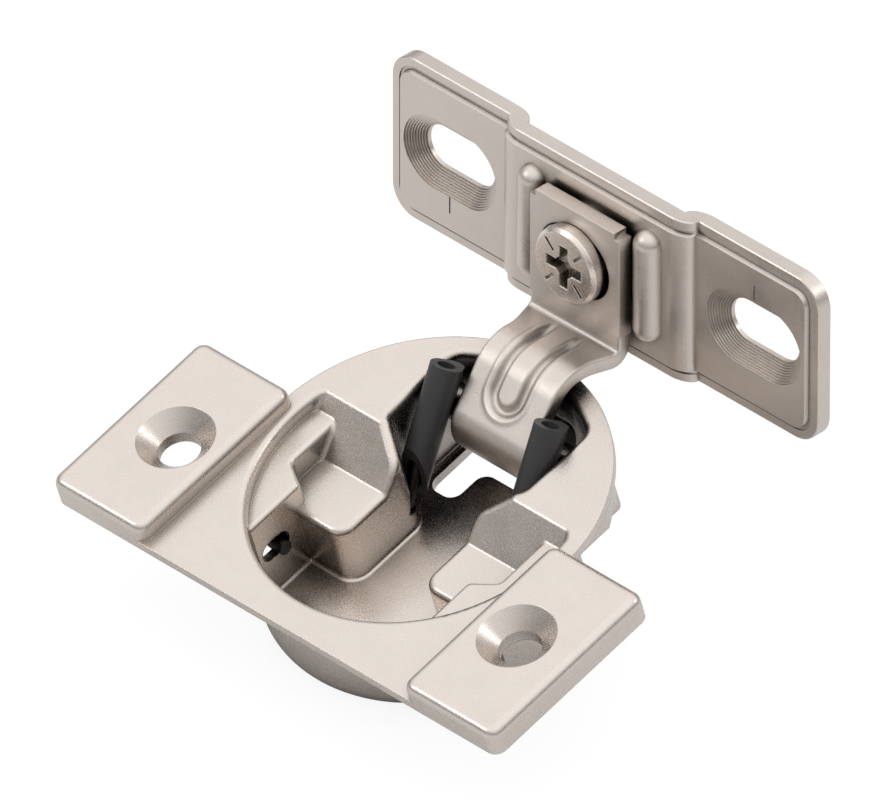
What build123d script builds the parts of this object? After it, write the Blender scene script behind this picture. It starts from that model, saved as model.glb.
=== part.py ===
"""Sprung concealed cabinet hinge: a drawn steel cup with two screw ears, a cranked
arm that turns on a pin at the back of the cup, and a slotted mounting plate on which
a cam screw shifts the arm. Millimetres, +Z up, X along the hinge pin. The origin is
the middle of the mounting plate's back face, which lies against the cabinet.
The model stands fully open, with the cup leaning CUP_TILT from level.
"""

import os
from math import cos, hypot, pi, radians, sin

from build123d import *

# Mounting plate
PLATE_LENGTH = 56.1
PLATE_HEIGHT = 18.2
PLATE_SHEET = 1.6
PLATE_CORNER = 3.0
PANEL_RISE = 0.4
PANEL_BORDER = 0.9
JOGGLE_RISE = 1.36
JOGGLE_INNER = 9.3
JOGGLE_OUTER = 12.7

# Screw slots in the plate
SLOT_SPACING = 40.0
SLOT_TRAVEL = 4.3
SLOT_WIDTH = 4.6
SINK_WIDTH = 7.0
SINK_STEPS = 9
MARK_WIDTH = 0.22
MARK_LENGTH = 1.9
MARK_DEPTH = 0.15
MARK_GAP = 0.4

# Guide ribs on the plate, one each side of the arm's tab
RIB_WIDTH = 2.3
RIB_LENGTH = 12.4
RIB_RISE = 1.9
RIB_SHEET = 0.8
GUIDE_GAP = 0.12

# Arm, folded from one strip
ARM_SHEET = 1.6
TAB_WIDTH = 11.75
TAB_STAND = 0.56
TAB_TOP = 6.05
TAB_NOTCH = 0.7
FOLD_RADIUS = 1.4
FOLD_CENTRE_Z = -6.6
SHOULDER_REACH = 3.58
NECK_RADIUS = 3.9
NECK_TURN = 55.0
PANEL_LENGTH = 4.98
ARM_WIDTH = 10.0
EYE_WRAP = 285.0
BEAD_WIDTH = 3.0
BEAD_LENGTH = 3.3
GROOVE_WIDTH = 0.95
GROOVE_DEPTH = 0.45

# Pin
PIN_RADIUS = 1.8
PIN_CHAMFER = 0.35
PIN_GAP = 0.05

# Cam screw
CAM_RADIUS = 3.45
CAM_THROW = 0.9
CAM_GAP = 0.07
SCREW_Z = 0.4
SCREW_HEAD_RADIUS = 4.0
SCREW_HEAD = 1.45
SCREW_BEVEL = 0.35
SCREW_SHANK_RADIUS = 2.3
SCREW_GAP = 0.05
RIVET_RADIUS = 3.2
RIVET_HEAD = 0.8
CROSS_SPAN = 4.6
CROSS_WIDTH = 1.15
CROSS_DEPTH = 1.1
TICK_LENGTH = 1.5
TICK_WIDTH = 0.3
TICK_DEPTH = 0.25

# Cup, in its own frame: x along the pin, v to the back, n out of the flange
CUP_TILT = 17.0
CUP_SHEET = 1.0
CUP_RADIUS = 17.5
CUP_DEPTH = 12.0
CUP_BACK_DEPTH = 6.8
CUP_SIDE_FLAT = 12.8
CUP_DEEP_BACK = 5.0
CUP_HEEL = 2.0
FLANGE_RADIUS = 18.6
FLANGE_FRONT = 20.0
EDGE_ROUND = 0.7
PIVOT_SETBACK = 5.62
PIVOT_N = -3.94

# Ears
EAR_HOLE_SPACING = 45.0
EAR_HOLE_V = -9.5
EAR_INNER = 17.2
EAR_OUTER = 29.2
EAR_BACK = 1.0
EAR_RISE = 2.0
EAR_ROUND = 0.9
EAR_CORNER = 1.2
EAR_HOLE_RADIUS = 2.1
EAR_SINK_RADIUS = 3.9
EAR_BOSS_TAPER = 30.0

# Pressings inside the cup
LEDGE_DEPTH = 1.5
LEDGE_FRONT_X = 11.1
LEDGE_BACK_X = 13.7
LEDGE_STEP_V = -5.3
LEDGE_STEP_LENGTH = 1.6
LEDGE_CORNER = 0.8
SHELF_DEPTH = 4.2
SHELF_FRONT_V = -6.6
FOOT_ROUND = 0.5
SLOPE_TOP_V = 3.9
SLOPE_FOOT_V = -0.5
CHANNEL_HALF = 5.2
BAY_HALF = 8.9
BAY_NECK_V = 2.3
BAY_FRONT_V = 5.0
BAY_BACK_GAP = 0.7
HOLLOW_CORNER = 1.8
HOLLOW_ROUND = 0.4
FLOOR_TONGUE_HALF = 4.6
FLOOR_TONGUE_END = 10.5
FLOOR_SLOT_START = 6.2
FLOOR_CORNER = 1.3
FLOOR_LIP = 0.8
WINDOW_V = -9.9
WINDOW_N = -6.0
WINDOW_LENGTH = 3.6
WINDOW_HEIGHT = 2.1

# Springs and their sleeves, one pair each side
WIRE_RADIUS = 0.75
WIRE_GAP = 0.15
KNUCKLE_RADIUS = WIRE_RADIUS + 0.06
KNUCKLE_GAP = 0.2
COIL_V = 1.0
COIL_N = -8.03
COIL_RADIUS = 1.9
COIL_PITCH = 1.91
COIL_TURNS = 3
LEG_END_ANGLE = 70.5
FRONT_LEG = 10.4
HOOK_REACH = 2.6
HOOK_BEND = 1.2
LEG_PLANE_X = 6.85
SLEEVE_TOP_V = 11.55
SLEEVE_TOP_N = 1.8
SLEEVE_RAKE = 50.5
SLEEVE_LENGTH = 13.6
SLEEVE_RADIUS = 1.6
SLEEVE_LOBE = 1.0
SLEEVE_LOBE_RADIUS = 1.1
SLEEVE_LOBE_LENGTH = 3.0
SLEEVE_CUT = 5.0
SLEEVE_CLEAR = 0.35
SLEEVE_CLEAR_N = -3.0
WIRE_RECESS = 2.2

SIDES = (-1, 1)
BIG = 60.0
NEAR = 0.05

os.makedirs("parts", exist_ok=True)

plate_front = -PLATE_SHEET
centre_front = plate_front - JOGGLE_RISE
tab_back = centre_front - PANEL_RISE - TAB_STAND
tab_middle = tab_back - ARM_SHEET / 2
tab_front = tab_back - ARM_SHEET


def outward(angle):
    """Unit step in the y, z plane, at an angle from +Y towards +Z."""
    return cos(radians(angle)), sin(radians(angle))


# The arm's middle line, from the tab's top down to the eye round the pin
fold_centre = (tab_middle - FOLD_RADIUS, FOLD_CENTRE_Z)
shoulder_z = FOLD_CENTRE_Z - FOLD_RADIUS
neck_centre = (fold_centre[0] - SHOULDER_REACH, shoulder_z - NECK_RADIUS)
panel_angle = 90 + NECK_TURN
panel_out = outward(panel_angle)
panel_run = outward(panel_angle + 90)
panel_top = (
    neck_centre[0] + NECK_RADIUS * panel_out[0],
    neck_centre[1] + NECK_RADIUS * panel_out[1],
)
panel_foot = (
    panel_top[0] + PANEL_LENGTH * panel_run[0],
    panel_top[1] + PANEL_LENGTH * panel_run[1],
)
eye_bore = PIN_RADIUS + PIN_GAP
eye_middle = eye_bore + ARM_SHEET / 2
pivot = (
    panel_foot[0] - eye_middle * panel_out[0],
    panel_foot[1] - eye_middle * panel_out[1],
)

# The cup's frame hangs on the pin, whose place follows the cup's back wall
inner_radius = CUP_RADIUS - CUP_SHEET
bay_back_v = inner_radius - BAY_BACK_GAP
pivot_v = CUP_RADIUS - PIVOT_SETBACK
tilt_cos = cos(radians(CUP_TILT))
tilt_sin = sin(radians(CUP_TILT))
cup_y = pivot[0] - pivot_v * tilt_cos + PIVOT_N * tilt_sin
cup_z = pivot[1] - pivot_v * tilt_sin - PIVOT_N * tilt_cos
CUP = Plane(origin=(0, cup_y, cup_z), x_dir=(1, 0, 0), z_dir=(0, -tilt_sin, tilt_cos))
CUP_SIDE = Plane(origin=(0, cup_y, cup_z), x_dir=(0, tilt_cos, tilt_sin), z_dir=(1, 0, 0))
PLATE_FACE = Plane(origin=(0, 0, 0), x_dir=(1, 0, 0), z_dir=(0, -1, 0))


def side_plane(x):
    """The cup's v, n plane, moved along the pin."""
    return CUP_SIDE.offset(x)


# Mounting plate: one strip, joggled forward in the middle
with BuildPart() as plate:
    with BuildSketch(Plane.XY) as plate_section:
        with BuildLine():
            front = Polyline(
                (-PLATE_LENGTH / 2, plate_front),
                (-JOGGLE_OUTER, plate_front),
                (-JOGGLE_INNER, centre_front),
                (JOGGLE_INNER, centre_front),
                (JOGGLE_OUTER, plate_front),
                (PLATE_LENGTH / 2, plate_front),
            )
            back = Polyline(
                (-PLATE_LENGTH / 2, 0),
                (-JOGGLE_OUTER + PLATE_SHEET / 2, 0),
                (-JOGGLE_INNER + PLATE_SHEET / 2, -JOGGLE_RISE),
                (JOGGLE_INNER - PLATE_SHEET / 2, -JOGGLE_RISE),
                (JOGGLE_OUTER - PLATE_SHEET / 2, 0),
                (PLATE_LENGTH / 2, 0),
            )
            Line(front @ 0, back @ 0)
            Line(front @ 1, back @ 1)
        make_face()
    extrude(amount=PLATE_HEIGHT / 2, both=True)
    joggle_edges = plate.edges().filter_by(Axis.Z).filter_by(
        lambda e: abs(e.center().X) < PLATE_LENGTH / 2 - 1
    )
    fillet(joggle_edges, radius=0.8)
    fillet(
        plate.edges().filter_by(Axis.Y).filter_by(
            lambda e: abs(e.center().X) > PLATE_LENGTH / 2 - 1
        ),
        radius=PLATE_CORNER,
    )
    # Raised panels inside a narrow border, on the wings and on the middle
    wing_length = PLATE_LENGTH / 2 - JOGGLE_OUTER - 2 * PANEL_BORDER
    wing_x = JOGGLE_OUTER + PANEL_BORDER + wing_length / 2
    panel_height = PLATE_HEIGHT - 2 * PANEL_BORDER
    with BuildSketch(PLATE_FACE.offset(PLATE_SHEET)):
        with Locations((-wing_x, 0), (wing_x, 0)):
            RectangleRounded(wing_length, panel_height, PLATE_CORNER - PANEL_BORDER)
    extrude(amount=PANEL_RISE, taper=15)
    with BuildSketch(PLATE_FACE.offset(-centre_front)):
        RectangleRounded(2 * (JOGGLE_INNER - 0.4), panel_height, 0.8)
    extrude(amount=PANEL_RISE, taper=15)
    # Pad under the tab
    with BuildSketch(PLATE_FACE.offset(-centre_front + PANEL_RISE)):
        with Locations((0, SCREW_Z)):
            Circle(TAB_WIDTH / 2 - 0.6)
    extrude(amount=TAB_STAND - SCREW_GAP)
    # Guide ribs, pressed up from the back
    rib_x = TAB_WIDTH / 2 + GUIDE_GAP + RIB_WIDTH / 2
    with BuildSketch(PLATE_FACE.offset(-centre_front)):
        with Locations((-rib_x, SCREW_Z), (rib_x, SCREW_Z)):
            SlotOverall(RIB_LENGTH, RIB_WIDTH, rotation=90)
    extrude(amount=RIB_RISE)
    rib_tops = plate.faces().filter_by(Axis.Y).sort_by(Axis.Y)[:2]
    fillet(rib_tops.edges(), radius=0.6)
    with BuildSketch(PLATE_FACE.offset(JOGGLE_RISE)):
        with Locations((-rib_x, SCREW_Z), (rib_x, SCREW_Z)):
            SlotOverall(RIB_LENGTH - 2 * RIB_SHEET, RIB_WIDTH - 2 * RIB_SHEET, rotation=90)
    extrude(amount=PLATE_SHEET + RIB_RISE - RIB_SHEET, mode=Mode.SUBTRACT)
    # Screw slots, sunk in fine steps
    slot_places = [(-SLOT_SPACING / 2, 0), (SLOT_SPACING / 2, 0)]
    with BuildSketch(PLATE_FACE):
        with Locations(*slot_places):
            SlotOverall(SLOT_TRAVEL + SLOT_WIDTH, SLOT_WIDTH)
    extrude(amount=PLATE_SHEET + PANEL_RISE, mode=Mode.SUBTRACT)
    for step in range(SINK_STEPS):
        share = (step + 1) / SINK_STEPS
        width = SLOT_WIDTH + (SINK_WIDTH - SLOT_WIDTH) * share
        bottom = (PLATE_SHEET + PANEL_RISE) * (0.25 + 0.75 * step / SINK_STEPS)
        with BuildSketch(PLATE_FACE.offset(bottom)):
            with Locations(*slot_places):
                SlotOverall(SLOT_TRAVEL + width, width)
        extrude(amount=PLATE_SHEET + PANEL_RISE - bottom, mode=Mode.SUBTRACT)
    # Alignment marks, below the left slot and above the right one
    mark_z = SINK_WIDTH / 2 + MARK_GAP + MARK_LENGTH / 2
    with BuildSketch(PLATE_FACE.offset(PLATE_SHEET + PANEL_RISE)):
        with Locations((-SLOT_SPACING / 2, -mark_z), (SLOT_SPACING / 2, mark_z)):
            Rectangle(MARK_WIDTH, MARK_LENGTH)
    extrude(amount=-MARK_DEPTH, mode=Mode.SUBTRACT)
    # Screw hole in the middle
    with BuildSketch(PLATE_FACE.offset(JOGGLE_RISE)):
        with Locations((0, SCREW_Z)):
            Circle(SCREW_SHANK_RADIUS + SCREW_GAP)
    extrude(amount=BIG, mode=Mode.SUBTRACT)
plate.part.label = "mounting_plate"

# Arm: tab, fold, shoulder, neck, panel and rolled eye
with BuildPart() as arm:
    with BuildSketch(Plane.YZ):
        with BuildLine() as strip:
            Line((tab_middle, TAB_TOP), (tab_middle, FOLD_CENTRE_Z))
            CenterArc(fold_centre, FOLD_RADIUS, 0, -90)
            Line((fold_centre[0], shoulder_z), (neck_centre[0], shoulder_z))
            CenterArc(neck_centre, NECK_RADIUS, 90, NECK_TURN)
            Line(panel_top, panel_foot)
            CenterArc(pivot, eye_middle, panel_angle, EYE_WRAP)
        trace(line_width=ARM_SHEET)
    extrude(amount=TAB_WIDTH / 2, both=True)
    # The strip narrows in front of the fold
    waist_y = neck_centre[0] + 0.6
    for side in SIDES:
        with BuildSketch(Plane.XY):
            with BuildLine():
                flare = Spline(
                    (side * TAB_WIDTH / 2, fold_centre[0] + 0.9),
                    (side * ARM_WIDTH / 2, waist_y),
                    tangents=((0, -1), (0, -1)),
                )
                Polyline(
                    flare @ 1,
                    (side * ARM_WIDTH / 2, -BIG),
                    (side * TAB_WIDTH, -BIG),
                    (side * TAB_WIDTH, fold_centre[0] + 0.9),
                    flare @ 0,
                )
            make_face()
        extrude(amount=BIG, both=True, mode=Mode.SUBTRACT)
    # Slot for the cam, and notched top corners
    cam_slot_height = 2 * (CAM_RADIUS + CAM_GAP)
    with BuildSketch(PLATE_FACE.offset(-tab_back)):
        with Locations((0, SCREW_Z)):
            SlotOverall(cam_slot_height + 2 * CAM_THROW + 0.2, cam_slot_height)
    extrude(amount=ARM_SHEET, both=True, mode=Mode.SUBTRACT)
    with BuildSketch(PLATE_FACE.offset(-tab_back)):
        with Locations((-TAB_WIDTH / 2, TAB_TOP), (TAB_WIDTH / 2, TAB_TOP)):
            Rectangle(2 * TAB_NOTCH, 2 * TAB_NOTCH)
    extrude(amount=ARM_SHEET, both=True, mode=Mode.SUBTRACT)
    # Bead down the neck, between two grooves that join at its foot
    neck_outer = NECK_RADIUS + ARM_SHEET / 2
    neck_top_z = neck_centre[1] + neck_outer
    groove_top = (
        neck_centre[0] + neck_outer * panel_out[0],
        neck_centre[1] + neck_outer * panel_out[1],
    )
    groove_foot = (
        groove_top[0] + BEAD_LENGTH * panel_run[0],
        groove_top[1] + BEAD_LENGTH * panel_run[1],
    )
    groove_bend = (
        groove_foot[0] - GROOVE_WIDTH * panel_run[0],
        groove_foot[1] - GROOVE_WIDTH * panel_run[1],
    )
    for side in SIDES:
        with BuildSketch(Plane.YZ.offset(side * (BEAD_WIDTH + GROOVE_WIDTH) / 2)):
            with BuildLine():
                Line((fold_centre[0] - FOLD_RADIUS, neck_top_z), (neck_centre[0], neck_top_z))
                CenterArc(neck_centre, neck_outer, 90, NECK_TURN)
                Line(groove_top, groove_foot)
            trace(line_width=2 * GROOVE_DEPTH)
        extrude(amount=GROOVE_WIDTH / 2, both=True, mode=Mode.SUBTRACT)
    with BuildSketch(Plane.YZ):
        with BuildLine():
            Line(groove_bend, groove_foot)
        trace(line_width=2 * GROOVE_DEPTH)
    extrude(amount=BEAD_WIDTH / 2, both=True, mode=Mode.SUBTRACT)
arm.part.label = "arm"

# Cam screw: head, eccentric, shank and riveted end, turned from one bar
head_back = -tab_front + SCREW_GAP
with BuildPart() as screw:
    with BuildSketch(PLATE_FACE.offset(head_back)):
        with Locations((0, SCREW_Z)):
            Circle(SCREW_HEAD_RADIUS)
    extrude(amount=SCREW_HEAD)
    chamfer(
        screw.edges().filter_by(GeomType.CIRCLE).sort_by(Axis.Y)[0],
        length=SCREW_BEVEL,
    )
    cam_back = -tab_back
    with BuildSketch(PLATE_FACE.offset(cam_back)):
        with Locations((-CAM_THROW, SCREW_Z)):
            Circle(CAM_RADIUS)
    extrude(amount=head_back - cam_back)
    with BuildSketch(PLATE_FACE.offset(JOGGLE_RISE - SCREW_GAP)):
        with Locations((0, SCREW_Z)):
            Circle(SCREW_SHANK_RADIUS)
    extrude(amount=cam_back - JOGGLE_RISE + SCREW_GAP)
    with BuildSketch(PLATE_FACE.offset(JOGGLE_RISE - SCREW_GAP)):
        with Locations((0, SCREW_Z)):
            Circle(RIVET_RADIUS)
    extrude(amount=-RIVET_HEAD)
    # Cross recess with a star of fine ticks between its wings
    face_out = head_back + SCREW_HEAD
    with BuildSketch(PLATE_FACE.offset(face_out)):
        with Locations((0, SCREW_Z)):
            Rectangle(CROSS_SPAN, CROSS_WIDTH)
            Rectangle(CROSS_WIDTH, CROSS_SPAN)
            Circle(CROSS_WIDTH)
    extrude(amount=-CROSS_DEPTH, taper=12, mode=Mode.SUBTRACT)
    with BuildSketch(PLATE_FACE.offset(face_out)):
        with Locations((0, SCREW_Z)):
            with PolarLocations(CROSS_SPAN / 2 + 0.3, 4, start_angle=45):
                Rectangle(TICK_LENGTH, TICK_WIDTH)
    extrude(amount=-TICK_DEPTH, mode=Mode.SUBTRACT)
screw.part.label = "cam_screw"

# Pin, pressed into the side walls of the bay
bay_outer = BAY_HALF + CUP_SHEET
with BuildPart() as pin:
    with BuildSketch(Plane.YZ):
        with Locations(pivot):
            Circle(PIN_RADIUS)
    extrude(amount=bay_outer, both=True)
    chamfer(pin.edges().filter_by(GeomType.CIRCLE), length=PIN_CHAMFER)
pin.part.label = "hinge_pin"

# Places and directions shared by the cup, the springs and the sleeves
floor_depth = CUP_DEPTH - CUP_SHEET
CUP_AXIS = Axis(CUP.origin, CUP.z_dir)
leg_x = LEG_PLANE_X + COIL_PITCH * (COIL_TURNS + LEG_END_ANGLE / 360)
lobe_inner = leg_x + WIRE_RADIUS + 2 * WIRE_GAP
lobe_outer = lobe_inner + CUP_SHEET
front_outer = LEDGE_FRONT_X + CUP_SHEET
sleeve_run = outward(180 + SLEEVE_RAKE)
sleeve_foot = (
    SLEEVE_TOP_V + SLEEVE_LENGTH * sleeve_run[0],
    SLEEVE_TOP_N + SLEEVE_LENGTH * sleeve_run[1],
)
leg_start_angle = SLEEVE_RAKE - 90
leg_start = (
    COIL_V + COIL_RADIUS * cos(radians(leg_start_angle)),
    COIL_N + COIL_RADIUS * sin(radians(leg_start_angle)),
)
leg_end_angle = leg_start_angle - LEG_END_ANGLE
leg_end = (
    COIL_V + COIL_RADIUS * cos(radians(leg_end_angle)),
    COIL_N + COIL_RADIUS * sin(radians(leg_end_angle)),
)
leg_run = outward(leg_end_angle - 90)
hook = (leg_end[0] + FRONT_LEG * leg_run[0], leg_end[1] + FRONT_LEG * leg_run[1])


def cup_point(x, v, n):
    """A point given in the cup's own frame."""
    return CUP.from_local_coords(Vector(x, v, n))


def rod_plane(start, end):
    """A plane at the start of a rod, facing its end."""
    return Plane(origin=start, z_dir=end - start)


def in_cup(shape):
    """The middle of an edge or a face, in the cup's own frame."""
    return CUP.to_local_coords(shape.center())


# Hollow above the shelves: round opening, crescent ledges, and a slope at the back
slope_run = (SLOPE_TOP_V - SLOPE_FOOT_V) / SHELF_DEPTH
with BuildPart() as upper_hollow:
    with BuildSketch(CUP):
        Circle(inner_radius)
    extrude(amount=-LEDGE_DEPTH)
    with BuildSketch(CUP.offset(-LEDGE_DEPTH)) as ledge_plan:
        with BuildLine():
            ledge_line = Polyline(
                (0, -CUP_RADIUS),
                (LEDGE_FRONT_X, -CUP_RADIUS),
                (LEDGE_FRONT_X, LEDGE_STEP_V),
                (LEDGE_BACK_X, LEDGE_STEP_V + LEDGE_STEP_LENGTH),
                (LEDGE_BACK_X, CUP_RADIUS),
                (0, CUP_RADIUS),
            )
            mirror(ledge_line, about=Plane.YZ)
        make_face()
        Circle(inner_radius, mode=Mode.INTERSECT)
        fillet(
            ledge_plan.vertices().filter_by(lambda corner: abs(corner.Y) < CUP_RADIUS / 2),
            radius=LEDGE_CORNER,
        )
    extrude(amount=LEDGE_DEPTH - SHELF_DEPTH)
    with BuildSketch(side_plane(0)):
        with BuildLine():
            Polyline(
                (-BIG, -SHELF_DEPTH - 1),
                (SLOPE_FOOT_V - slope_run, -SHELF_DEPTH - 1),
                (SLOPE_TOP_V + slope_run, 1),
                (-BIG, 1),
                close=True,
            )
        make_face()
    extrude(amount=BIG, both=True, mode=Mode.INTERSECT)
    slope_face = upper_hollow.faces().filter_by(
        lambda face: 0.1 < abs(face.normal_at().dot(CUP.z_dir)) < 0.9
    )[0]
    slope_edges = slope_face.edges().filter_by(lambda edge: in_cup(edge).Z < -NEAR)
    ledge_edges = upper_hollow.edges().filter_by(
        lambda edge: abs(in_cup(edge).Z + LEDGE_DEPTH) < NEAR
        and hypot(in_cup(edge).X, in_cup(edge).Y) < inner_radius - NEAR
    )
    fillet(slope_edges + ledge_edges, radius=FOOT_ROUND)

# Hollow below the shelves: bowl in front, channel between the lobes, bay round the pin
throat_points = (
    (CHANNEL_HALF, BAY_NECK_V),
    (BAY_HALF, BAY_FRONT_V),
    (BAY_HALF, bay_back_v),
    (0, bay_back_v),
)
with BuildPart() as deep_hollow:
    with BuildSketch(CUP.offset(-floor_depth)) as deep_plan:
        with BuildLine():
            deep_line = Polyline(
                (0, -CUP_RADIUS),
                (LEDGE_FRONT_X, -CUP_RADIUS),
                (LEDGE_FRONT_X, SHELF_FRONT_V),
                (CHANNEL_HALF, SHELF_FRONT_V),
                *throat_points,
            )
            mirror(deep_line, about=Plane.YZ)
        make_face()
        Circle(inner_radius, mode=Mode.INTERSECT)
        fillet(
            deep_plan.vertices().filter_by(
                lambda corner: corner.Y > SHELF_FRONT_V - NEAR
                and abs(corner.X) < BAY_HALF + NEAR
            ),
            radius=HOLLOW_CORNER,
        )
    extrude(amount=floor_depth - SHELF_DEPTH + 1)
    fillet(deep_hollow.faces().sort_by(CUP_AXIS)[0].edges(), radius=HOLLOW_ROUND)

# Throat: the channel and the bay are open up to the flange
with BuildPart() as throat:
    with BuildSketch(CUP.offset(-SHELF_DEPTH - 1)) as throat_plan:
        with BuildLine():
            throat_line = Polyline(
                (0, SHELF_FRONT_V - 1), (CHANNEL_HALF, SHELF_FRONT_V - 1), *throat_points
            )
            mirror(throat_line, about=Plane.YZ)
        make_face()
        Circle(inner_radius, mode=Mode.INTERSECT)
        fillet(
            throat_plan.vertices().filter_by(lambda corner: corner.Y > 0),
            radius=HOLLOW_CORNER,
        )
    extrude(amount=SHELF_DEPTH + 1)

with BuildPart() as hollow:
    for shape in (upper_hollow, deep_hollow, throat):
        add(shape.part)

# Hollow under each lobe, where the spring lies, open below
channel_foot = LEG_PLANE_X - WIRE_RADIUS - WIRE_GAP
roof_shift = CUP_SHEET * (1 + slope_run**2) ** 0.5 - CUP_SHEET * slope_run
lobe_back = CUP_DEEP_BACK - CUP_SHEET
lobe_front = SHELF_FRONT_V + CUP_SHEET
roof_foot = SLOPE_FOOT_V + roof_shift
roof_back = -SHELF_DEPTH - CUP_SHEET + (lobe_back - roof_foot) / slope_run
with BuildPart() as lobe_hollow:
    with BuildSketch(CUP.offset(-CUP_DEPTH - 1)):
        with BuildLine():
            Polyline(
                (channel_foot, lobe_front),
                (lobe_inner, lobe_front),
                (lobe_inner, lobe_back),
                (BAY_HALF, lobe_back),
                (channel_foot, BAY_NECK_V - CUP_SHEET),
                close=True,
            )
        make_face()
    extrude(amount=CUP_DEPTH + 1)
    with BuildSketch(side_plane(0)):
        with BuildLine():
            Polyline(
                (lobe_front, -CUP_DEPTH - 1),
                (lobe_front, -SHELF_DEPTH - CUP_SHEET),
                (roof_foot, -SHELF_DEPTH - CUP_SHEET),
                (lobe_back, roof_back),
                (lobe_back, -CUP_DEPTH - 1),
                close=True,
            )
        make_face()
    extrude(amount=BIG, mode=Mode.INTERSECT)
    # Back corner between the pin's wall and the outer wall
    with BuildSketch(CUP.offset(-CUP_BACK_DEPTH - 1)) as back_plan:
        with Locations(((bay_outer + CUP_SIDE_FLAT - CUP_SHEET) / 2, CUP_RADIUS / 2 + CUP_DEEP_BACK)):
            Rectangle(CUP_SIDE_FLAT - CUP_SHEET - bay_outer, CUP_RADIUS)
        Circle(inner_radius, mode=Mode.INTERSECT)
    extrude(amount=CUP_BACK_DEPTH + 1 - CUP_SHEET)

# Hollow under each ear, round a conical boss for the screw
ear_x = (EAR_OUTER + EAR_INNER) / 2
ear_v = (EAR_BACK - FLANGE_FRONT) / 2
ear_length = EAR_BACK + FLANGE_FRONT
ear_width = EAR_OUTER - EAR_INNER
hole_x = EAR_HOLE_SPACING / 2
with BuildPart() as ear_hollow:
    with BuildSketch(CUP.offset(EAR_RISE - CUP_SHEET)):
        with Locations((ear_x, ear_v)):
            RectangleRounded(
                ear_width - 2 * CUP_SHEET, ear_length - 2 * CUP_SHEET, EAR_CORNER / 2
            )
    extrude(amount=-EAR_RISE - 1)
    with BuildSketch(CUP.offset(EAR_RISE - CUP_SHEET)):
        with Locations((hole_x, EAR_HOLE_V)):
            Circle(EAR_SINK_RADIUS + CUP_SHEET / 2)
    extrude(amount=-EAR_RISE - 1, taper=EAR_BOSS_TAPER, mode=Mode.SUBTRACT)

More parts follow.
